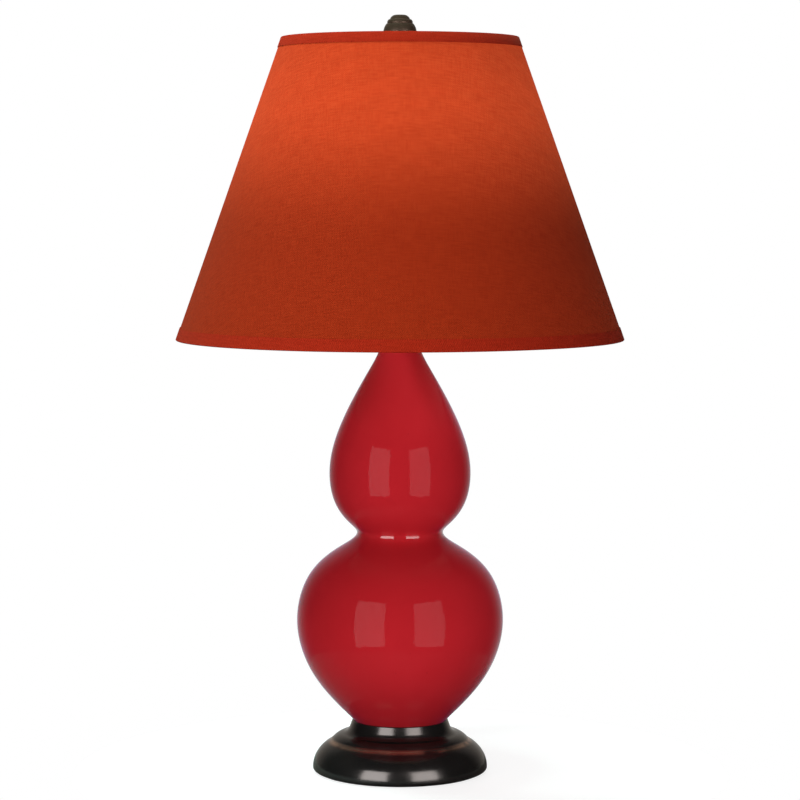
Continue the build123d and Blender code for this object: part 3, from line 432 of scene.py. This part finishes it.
swivel_low, swivel_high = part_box("harp_swivel")
stud_radius = 0.0030
stud_length = 0.0130
stud_pitch = 0.00094
stud_thread_depth = 0.0005
stud_chamfer = 0.00075
shank_radius = 0.0023
plate_thickness = 0.0018
plate_rounding = 0.0003
rivet_radius = 0.0037
rivet_thickness = 0.0015
seat_height = swivel_high.z - stud_length
shank_length = seat_height - plate_thickness - rivet_thickness - swivel_low.z
swivel_seat = threaded(
    "swivel_seat",
    stud_radius,
    seat_height,
    swivel_high.z,
    stud_pitch,
    stud_thread_depth,
    segments=48,
    chamfer=stud_chamfer,
)
select_end(swivel_seat, up=-1)
swivel_profile = (
    (swivel_high.x - plate_rounding, 0),
    (swivel_high.x, plate_rounding),
    (swivel_high.x, plate_thickness - 2 * plate_rounding),
    (swivel_high.x - plate_rounding, plate_rounding),
    (shank_radius, 0),
    (shank_radius, shank_length),
    (rivet_radius, 0),
    (rivet_radius, rivet_thickness * 0.5),
    (rivet_radius * 0.85, rivet_thickness * 0.3),
    (rivet_radius * 0.5, rivet_thickness * 0.2),
)
step_down(stud_radius, swivel_profile)
finish_piece(swivel_seat, "swivel", wire_bronze, smooth=40)
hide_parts("harp_swivel")


# ---- Lamp socket: a fibre sleeve in the brass shell, a moulded interior and the threaded screw shell.
# The screw shell is pressed brass, its thread rolled into the sheet.
fibre, tree, surface = shader("vulcanised_fibre")
pulp = noise(tree, object_place(tree), 500, 4)
fibre_look = {
    "Base Color": mix(tree, pulp, (0.42, 0.31, 0.20), (0.60, 0.47, 0.32)),
    "Roughness": 0.85,
}
set_inputs(tree, surface, fibre_look)
dress(fibre, "socket_liner")

phenolic, tree, surface = shader("phenolic_moulding")
swirl = noise(tree, object_place(tree), 140, 5)
phenolic_look = {
    "Base Color": mix(tree, swirl, (0.018, 0.012, 0.009), (0.050, 0.032, 0.022)),
    "Roughness": 0.4,
}
set_inputs(tree, surface, phenolic_look)
dress(phenolic, "socket_interior")

shell_low, shell_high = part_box("screw_shell")
socket_pitch = 0.00363
shell_thread_depth = 0.00035
shell_wall = 0.0003
shell_hole = 0.6
shell_thread = threaded(
    "screw_shell_thread", shell_high.x, shell_low.z, shell_high.z, socket_pitch, shell_thread_depth
)
select_end(shell_thread, up=1)
bpy.ops.mesh.delete(type="FACE")
select_end(shell_thread, up=-1)
bpy.ops.mesh.extrude_region_move()
bpy.ops.transform.resize(value=(shell_hole, shell_hole, 1), center_override=(0, 0, 0))
bpy.ops.mesh.delete(type="FACE")
rolled_wall = shell_thread.modifiers.new("rolled wall", "SOLIDIFY")
rolled_wall.thickness = shell_wall
rolled_wall.offset = -1
finish_piece(shell_thread, "lamp_base", brass)
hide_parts("screw_shell")


# ---- Bulb: a pear lamp, frosted inside, lit. Its aluminium cap has a rolled thread, and black glass
# insulates the contact at its tip.
glass_neck = 0.405
glass_globe = 0.450
frosted, tree, surface = shader("frosted_glass_lit")
place = object_place(tree)
frost = noise(tree, place, 600, 3)
globe = ramp(tree, split(tree, place)["Z"], glass_neck, glass_globe)
frosted_look = {
    "Base Color": mix(tree, frost, (0.30, 0.28, 0.25), (0.36, 0.34, 0.31)),
    "Emission Color": mix(tree, globe, (0.52, 0.30, 0.12), (1.0, 0.82, 0.50)),
    "Emission Strength": 0.85,
    "Roughness": 0.45,
}
set_inputs(tree, surface, frosted_look)
dress(frosted, "bulb_glass")

aluminium, tree, surface = shader("rolled_aluminium")
scuffs = noise(tree, object_place(tree), 260, 4)
aluminium_look = {
    "Base Color": mix(tree, scuffs, (0.40, 0.40, 0.40), (0.56, 0.56, 0.55)),
    "Roughness": ramp(tree, scuffs, 0.3, 0.7, 0.34, 0.50),
    "Metallic": 1.0,
}
set_inputs(tree, surface, aluminium_look)

black_glass, tree, surface = shader("black_glass")
melt = noise(tree, object_place(tree), 180, 3)
black_glass_look = {
    "Base Color": mix(tree, melt, (0.006, 0.006, 0.008), (0.02, 0.02, 0.022)),
    "Roughness": 0.12,
}
set_inputs(tree, surface, black_glass_look)
dress(black_glass, "bulb_insulator")

cap_thread_depth = 0.0006
bulb_base_low, bulb_base_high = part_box("bulb_base")
bulb_cap = threaded(
    "bulb_screw_cap", bulb_base_high.x, bulb_base_low.z, bulb_base_high.z, socket_pitch, cap_thread_depth
)
finish_piece(bulb_cap, "bulb", aluminium)
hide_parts("bulb_base")


# ---- Shade frame: white coated wire. The spider's hub sits on the harp's seat, its arms carry the top ring,
# and a second ring holds the lower rim round.
white_coat, tree, surface = shader("white_powder_coat")
peel = noise(tree, object_place(tree), 700, 2)
coat_look = {
    "Base Color": mix(tree, peel, (0.56, 0.54, 0.50), (0.64, 0.62, 0.58)),
    "Normal": bump(tree, peel, 0.0001, 0.4),
    "Roughness": 0.45,
}
set_inputs(tree, surface, coat_look)
dress(white_coat, "shade_spider", "shade_bottom_ring")


# ---- Shade lining: stiff white styrene sheet, rolled to a cone, with the bulb's light on its inside painted in as a warm glow.
# The cotton is bonded to its outside.
shade_low, shade_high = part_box("shade_fabric")
shade_top_radius = 0.0897
shade_slope = (shade_high.x - shade_top_radius) / (shade_high.z - shade_low.z)

# The bulb's light on the lining and the cotton is painted in as a glow by height: weak low down, full from
# Low to High, and a little less at the very top.
top_fade_low = 0.50
top_fade_high = 0.60
top_fade_share = 0.75
painted_bulb_glow, given, result = new_group(
    "painted_bulb_glow",
    (
        ("Place", "NodeSocketVector", None),
        ("Low", "NodeSocketFloat", 0.40),
        ("High", "NodeSocketFloat", 0.50),
        ("Least", "NodeSocketFloat", 0.0),
    ),
    ("Light",),
)
height = split(painted_bulb_glow, given["Place"])["Z"]
climb = ramp(painted_bulb_glow, height, given["Low"], given["High"], given["Least"], 1.0)
top_fade = ramp(painted_bulb_glow, height, top_fade_low, top_fade_high, 1.0, top_fade_share)
set_inputs(painted_bulb_glow, result, {"Light": math_node(painted_bulb_glow, "MULTIPLY", climb, top_fade)})

styrene, tree, surface = shader("white_styrene")
place = object_place(tree)
lit = use_group(tree, painted_bulb_glow, {"Place": place, "Low": 0.33, "High": 0.47, "Least": 0.15})["Light"]
sheet_grain = noise(tree, place, 90, 3)
styrene_look = {
    "Base Color": mix(tree, sheet_grain, (0.80, 0.78, 0.72), (0.86, 0.84, 0.79)),
    # Painted glow: the bulb's light on the lining, warm and stronger higher up.
    "Emission Color": mix(tree, lit, (0, 0, 0), (1.0, 0.74, 0.46)),
    "Emission Strength": 0.14,
    "Roughness": 0.6,
}
set_inputs(tree, surface, styrene_look)
dress(styrene, "shade_liner")


# ---- Shade fabric: plain-woven orange-red cotton with slubs, cut as a flat sector with the grain straight
# at the front, rolled to a cone and lapped at the back. The bulb's light through its upper part is painted
# in as a glow.
weave, given, result = new_group(
    "weave",
    (
        ("Cloth", "NodeSocketVector", None),
        ("Pitch", "NodeSocketFloat", 0.0008),
        ("Slub Length", "NodeSocketFloat", 0.011),
        ("Slub Width", "NodeSocketFloat", 0.0009),
    ),
    ("Yarn", "Height"),
)
parts = split(weave, given["Cloth"])
slubs = {}
for grain, lengthwise, crosswise in (("weft", "X", "Y"), ("warp", "Y", "X")):
    long_way = math_node(weave, "DIVIDE", parts[lengthwise], given["Slub Length"])
    short_way = math_node(weave, "DIVIDE", parts[crosswise], given["Slub Width"])
    stretched = add_node(weave, "ShaderNodeCombineXYZ", {"X": long_way, "Y": short_way}).outputs[0]
    slubs[grain] = noise(weave, stretched, 1.0, 4)
yarn = math_node(weave, "MULTIPLY", slubs["weft"], 0.56)
yarn = math_node(weave, "MULTIPLY_ADD", slubs["warp"], 0.44, yarn)
waves = {}
for way in ("X", "Y"):
    count = math_node(weave, "DIVIDE", parts[way], given["Pitch"])
    waves[way] = math_node(weave, "SINE", math_node(weave, "MULTIPLY", count, pi))
over_under = math_node(weave, "MULTIPLY", waves["X"], waves["Y"])
raised = math_node(weave, "MULTIPLY_ADD", over_under, 0.5, yarn)
coloured = math_node(weave, "MULTIPLY_ADD", over_under, 0.10, yarn)
set_inputs(weave, result, {"Yarn": ramp(weave, coloured, 0.34, 0.66), "Height": raised})


def woven_cloth(name, dark, light, painted_glow_dark, painted_glow_light, painted_glow_strength):
    """Woven cotton over the lining: its own colour, and the bulb's light through it painted in as a glow."""
    cloth, tree, surface = shader(name)
    cut = tree.nodes.new("ShaderNodeUVMap")
    cut.uv_map = "cut"
    threads = use_group(tree, weave, {"Cloth": cut.outputs["UV"]})
    # The bulb's light coming through the cotton is painted in as an emitted glow, a little patchy along the
    # cut.
    behind = {"Place": object_place(tree), "Low": 0.405, "High": 0.522, "Least": 0.10}
    lit = use_group(tree, painted_bulb_glow, behind)["Light"]
    along = add_node(tree, "ShaderNodeMapping", {"Vector": cut.outputs["UV"], "Scale": (0.35, 1.0, 1.0)})
    clouds = noise(tree, along.outputs[0], 90, 3)
    lit = math_node(tree, "MULTIPLY", lit, ramp(tree, clouds, 0.3, 0.7, 0.93, 1.05))
    through = mix(tree, threads["Yarn"], painted_glow_dark, painted_glow_light)
    look = {
        "Base Color": mix(tree, threads["Yarn"], dark, light),
        "Emission Color": mix(tree, lit, (0, 0, 0), through),
        "Emission Strength": painted_glow_strength,
        "Normal": bump(tree, threads["Height"], 0.00025, 0.6),
        "Roughness": 0.92,
        "Specular IOR Level": 0.0,
        "Sheen Weight": 0.025,
        "Sheen Roughness": 0.5,
        "Sheen Tint": (0.9, 0.9, 0.65, 1),
    }
    set_inputs(tree, surface, look)
    return cloth


cotton = woven_cloth(
    "orange_red_cotton",
    dark=(0.198, 0.0118, 0.0028),
    light=(0.250, 0.0174, 0.0044),
    painted_glow_dark=(0.87, 0.088, 0.024),
    painted_glow_light=(1.0, 0.140, 0.040),
    painted_glow_strength=0.42,
)

cone_sine = shade_slope / hypot(1, shade_slope)
cone_cosine = 1 / hypot(1, shade_slope)
cone_tip = shade_low.z + shade_high.x / shade_slope
cut_low = shade_high.x / cone_sine
cut_high = shade_top_radius / cone_sine
half_cut = pi * cone_sine
cloth_thickness = 0.00035
cloth_inset = 0.00005
lap_angle = 0.024
lap_step = 0.008

bpy.ops.object.select_all(action="DESELECT")
bpy.ops.mesh.primitive_grid_add(x_subdivisions=288, y_subdivisions=36, size=1)
shade_cloth = start_piece("shade_cloth")
bpy.ops.object.mode_set(mode="OBJECT")
shade_cloth.data.uv_layers[0].name = "cut"
flat_places = []
for corner in shade_cloth.data.vertices:
    cut_angle = -half_cut + (corner.co.x + 0.5) * (2 * half_cut + lap_angle)
    slant = cut_low + (cut_high - cut_low) * (corner.co.y + 0.5)
    flat_places.append((slant * sin(cut_angle), -slant * cos(cut_angle)))
    lapped = min(1.0, max(0.0, (cut_angle - half_cut + lap_step) / lap_step))
    lift = cloth_thickness * lapped - cloth_inset
    turn = cut_angle / cone_sine
    from_axis = slant * cone_sine + lift * cone_cosine
    height = cone_tip - slant * cone_cosine + lift * cone_sine
    corner.co = (from_axis * sin(turn), -from_axis * cos(turn), height)
for loop in shade_cloth.data.loops:
    shade_cloth.data.uv_layers["cut"].data[loop.index].uv = flat_places[loop.vertex_index]
cloth_wall = shade_cloth.modifiers.new("cloth thickness", "SOLIDIFY")
cloth_wall.thickness = cloth_thickness
cloth_wall.offset = -1
finish_piece(shade_cloth, "shade", cotton)
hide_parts("shade_fabric")


# ---- Rim tapes: straight strips of redder cotton, folded over each rim and round the wire ring inside it.
# Their edges are cut clean and glued down, the outer one square to the lining.
# The tapes carry only a weak painted glow of the bulb's light.
tape_cotton = woven_cloth(
    "red_cotton_tape",
    dark=(0.250, 0.0115, 0.0040),
    light=(0.300, 0.0160, 0.0060),
    painted_glow_dark=(0.5, 0.02, 0.006),
    painted_glow_light=(0.7, 0.03, 0.01),
    painted_glow_strength=0.05,
)
lining_depth = 0.0013
tape_thickness = 0.0005
ring_wire = 0.0013
ring_inset = 0.0015
tape_tuck = 0.0030
tape_fold_start = 90
tape_fold_sweep = 150
tape_fold_steps = 9
tape_steps_round = 256


def shade_place(depth, height):
    """A point of the shade's section: distance from the axis and height, so deep under the cotton."""
    return Vector((shade_top_radius + (shade_high.z - height) * shade_slope - depth / cone_cosine, height))


def rim_tape(name, node, rim, inward, outer_edge):
    """A tape from its outer edge over the rim and round the wire; inward is +1 at the lower rim."""
    half = tape_thickness / 2
    wire_height = rim + inward * ring_inset
    wire_centre = shade_place(lining_depth + ring_wire, wire_height)
    path = [shade_place(-half, outer_edge), shade_place(-half, rim)]
    path.append(shade_place(0, rim - inward * half))
    path.append(shade_place(lining_depth, rim - inward * half))
    for step in range(tape_fold_steps):
        fold = -inward * radians(tape_fold_start + tape_fold_sweep * step / (tape_fold_steps - 1))
        path.append(wire_centre + Vector((cos(fold), sin(fold))) * (ring_wire + half))
    path.append(shade_place(lining_depth + half, wire_height + inward * tape_tuck))

    bpy.ops.object.select_all(action="DESELECT")
    bpy.ops.mesh.primitive_plane_add(size=1)
    tape = start_piece(name)
    bpy.ops.mesh.merge(type="CENTER")
    bpy.ops.transform.translate(value=(path[0].x, 0, path[0].y))
    for start, end in zip(path, path[1:]):
        stride = (end.x - start.x, 0, end.y - start.y)
        bpy.ops.mesh.extrude_region_move(TRANSFORM_OT_translate={"value": stride})
    bpy.ops.mesh.select_all(action="SELECT")
    bpy.ops.mesh.spin(steps=tape_steps_round, angle=tau, center=(0, 0, 0), axis=(0, 0, 1))
    bpy.ops.mesh.select_all(action="SELECT")
    bpy.ops.mesh.remove_doubles(threshold=0.000001)
    bpy.ops.object.mode_set(mode="OBJECT")

    cut = tape.data.uv_layers.new(name="cut")
    reach = path[0].x
    for face in tape.data.polygons:
        places = [tape.data.vertices[corner].co for corner in face.vertices]
        turns = [atan2(place.x, -place.y) for place in places]
        if max(turns) - min(turns) > pi:
            turns = [turn + tau if turn < 0 else turn for turn in turns]
        for turn, place, loop in zip(turns, places, face.loop_indices):
            cut.data[loop].uv = (turn * reach, hypot(place.x, place.y) + place.z)
    tape_wall = tape.modifiers.new("tape thickness", "SOLIDIFY")
    tape_wall.thickness = tape_thickness
    tape_wall.offset = 0
    finish_piece(tape, "shade", tape_cotton)
    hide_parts(node)
    return tape


top_trim_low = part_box("shade_top_trim")[0].z
bottom_trim_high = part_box("shade_bottom_trim")[1].z
top_tape = rim_tape("shade_top_tape", "shade_top_trim", shade_high.z, -1, top_trim_low)
bottom_tape = rim_tape("shade_bottom_tape", "shade_bottom_trim", shade_low.z, 1, bottom_trim_high)


# ---- Finial: a turned knob in three stepped tiers, finished like the base, tapped for the harp's stud.
# Its steps are worn a little brighter than the hollows between them.
finial_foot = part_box("finial_body")[0].z
finial_edges = (
    (finial_foot + 0.0115, 0.0010, 0.6, 0.0),
    (finial_foot + 0.0181, 0.0006, 0.5, 0.0),
    (finial_foot + 0.0214, 0.0006, 0.5, 0.0),
)
finial_bronze = patina(
    "rubbed_bronze_finial",
    dark=(0.060, 0.034, 0.023),
    light=(0.092, 0.053, 0.036),
    edges=finial_edges,
    worn=(0.16, 0.11, 0.078),
    gloss=0.40,
    metal=0.45,
)
dress(finial_bronze, "finial_body")


# ---- Studio: a round pale floor, two tall soft boxes in front, weaker light from behind and from the upper
# left, and the camera where the photograph was taken from.
floor_radius = 0.25
floor_gap = 0.0001
bpy.ops.object.select_all(action="DESELECT")
bpy.ops.mesh.primitive_circle_add(
    vertices=128, radius=floor_radius, fill_type="NGON", location=(0, 0, -floor_gap)
)
floor = bpy.context.object
floor.name = "floor"
paint, tree, surface = shader("pale_floor")
ray = tree.nodes.new("ShaderNodeLightPath").outputs
far_side = ramp(tree, split(tree, object_place(tree))["Y"], 0.05, 0.25, 0.0, 0.3)
seen = math_node(tree, "ADD", ray["Is Camera Ray"], ray["Is Transmission Ray"])
seen = math_node(tree, "MULTIPLY_ADD", ray["Is Glossy Ray"], far_side, seen)
floor_look = {
    "Base Color": (0.30, 0.30, 0.30, 1),
    "Roughness": 0.8,
    "Specular IOR Level": 0.0,
    "Emission Color": mix(tree, seen, (0, 0, 0), (1, 1, 1)),
    "Emission Strength": 0.82,
}
set_inputs(tree, surface, floor_look)
# From below the floor is clear, so that the foot shows.
clear = tree.nodes.new("ShaderNodeBsdfTransparent")
underside = tree.nodes.new("ShaderNodeNewGeometry").outputs["Backfacing"]
sides = add_node(tree, "ShaderNodeMixShader", {0: underside, 1: surface.outputs[0], 2: clear.outputs[0]})
set_inputs(tree, tree.nodes["Material Output"], {"Surface": sides.outputs[0]})
floor.data.materials.append(paint)

# The room is white to the camera, dim as a light, and seen in gloss only behind the lamp.
room_light = 0.14
room_in_gloss = 0.04
far_wall_in_gloss = 0.65
world = bpy.data.worlds.new("studio")
bpy.context.scene.world = world
world.use_nodes = True
tree = world.node_tree
ray = tree.nodes.new("ShaderNodeLightPath").outputs
direction = tree.nodes.new("ShaderNodeTexCoord").outputs["Generated"]
in_gloss = ramp(tree, split(tree, direction)["Y"], 0.46, 0.95, room_in_gloss, far_wall_in_gloss)
seen = math_node(tree, "MAXIMUM", ray["Is Camera Ray"], ray["Is Transmission Ray"])
level = math_node(tree, "MULTIPLY_ADD", seen, 1 - room_light, room_light)
change = math_node(tree, "SUBTRACT", in_gloss, level)
level = math_node(tree, "MULTIPLY_ADD", ray["Is Glossy Ray"], change, level)
set_inputs(tree, tree.nodes["Background"], {"Color": (1, 1, 1, 1), "Strength": level})


def studio_lamp(
    name, azimuth, elevation, distance, size, watts, aim, tint=(1, 1, 1), diffuse=True, glossy=True
):
    """A rectangular lamp at an azimuth from the front and an elevation, facing a height on the axis."""
    lamp = bpy.data.lights.new(name, "AREA")
    lamp.shape = "RECTANGLE"
    lamp.size, lamp.size_y = size
    lamp.energy = watts
    lamp.color = tint
    box = bpy.data.objects.new(name, lamp)
    turn, lift = radians(azimuth), radians(elevation)
    reach = distance * cos(lift)
    box.location = (reach * sin(turn), -reach * cos(turn), aim + distance * sin(lift))
    towards = Vector((0, 0, aim)) - box.location
    box.rotation_euler = towards.to_track_quat("-Z", "Y").to_euler()
    box.visible_camera = False
    box.visible_diffuse = diffuse
    box.visible_glossy = glossy
    bpy.context.scene.collection.objects.link(box)


def lamp_watts(level, distance):
    """The power that lights a white card facing the lamp to a level, where 1 is white."""
    return level * (pi * distance) ** 2


# Two tall soft boxes show as bright panes in the glaze and the bronze, and the same two light the rest.
box_distance = 1.3
box_size = (0.84, 1.36)
box_height = 0.215
box_level = 0.49
light_turn = 0.8
light_height = 0.15
pane_setback = 0.05
pane_radiance = 8.0
pane_watts = pane_radiance * pi * box_size[0] * box_size[1]
for side, azimuth, share in (("left", -34, 1.08), ("right", 33, 0.92)):
    studio_lamp(
        "soft_box_pane_" + side,
        azimuth=azimuth,
        elevation=0,
        distance=box_distance + pane_setback,
        size=box_size,
        watts=pane_watts * share,
        aim=box_height,
        diffuse=False,
    )
    studio_lamp(
        "soft_box_light_" + side,
        azimuth=azimuth * light_turn,
        elevation=0,
        distance=box_distance,
        size=box_size,
        watts=lamp_watts(box_level, box_distance),
        aim=light_height,
        glossy=False,
    )
studio_lamp(
    "shade_key",
    azimuth=-76,
    elevation=68,
    distance=2.0,
    size=(0.6, 0.6),
    watts=lamp_watts(1.55, 2.0),
    aim=0.45,
    tint=(0.96, 1.45, 1.35),
    glossy=False,
)
studio_lamp(
    "back_light",
    azimuth=180,
    elevation=20,
    distance=1.7,
    size=(1.0, 1.2),
    watts=lamp_watts(0.5, 1.7),
    aim=0.25,
    glossy=False,
)

camera_distance = 2.1357
camera_height = 0.4529
camera_pitch = 4.467
focal_pixels = 2805.2
picture_pixels = 800
sensor_width = 36.0
camera_data = bpy.data.cameras.new("camera")
camera_data.sensor_width = sensor_width
camera_data.lens = focal_pixels / picture_pixels * sensor_width
camera = bpy.data.objects.new("camera", camera_data)
camera.location = (0, -camera_distance, camera_height)
camera.rotation_euler = (radians(90 - camera_pitch), 0, 0)
bpy.context.scene.collection.objects.link(camera)
bpy.context.scene.camera = camera
bpy.context.scene.view_settings.view_transform = "Standard"
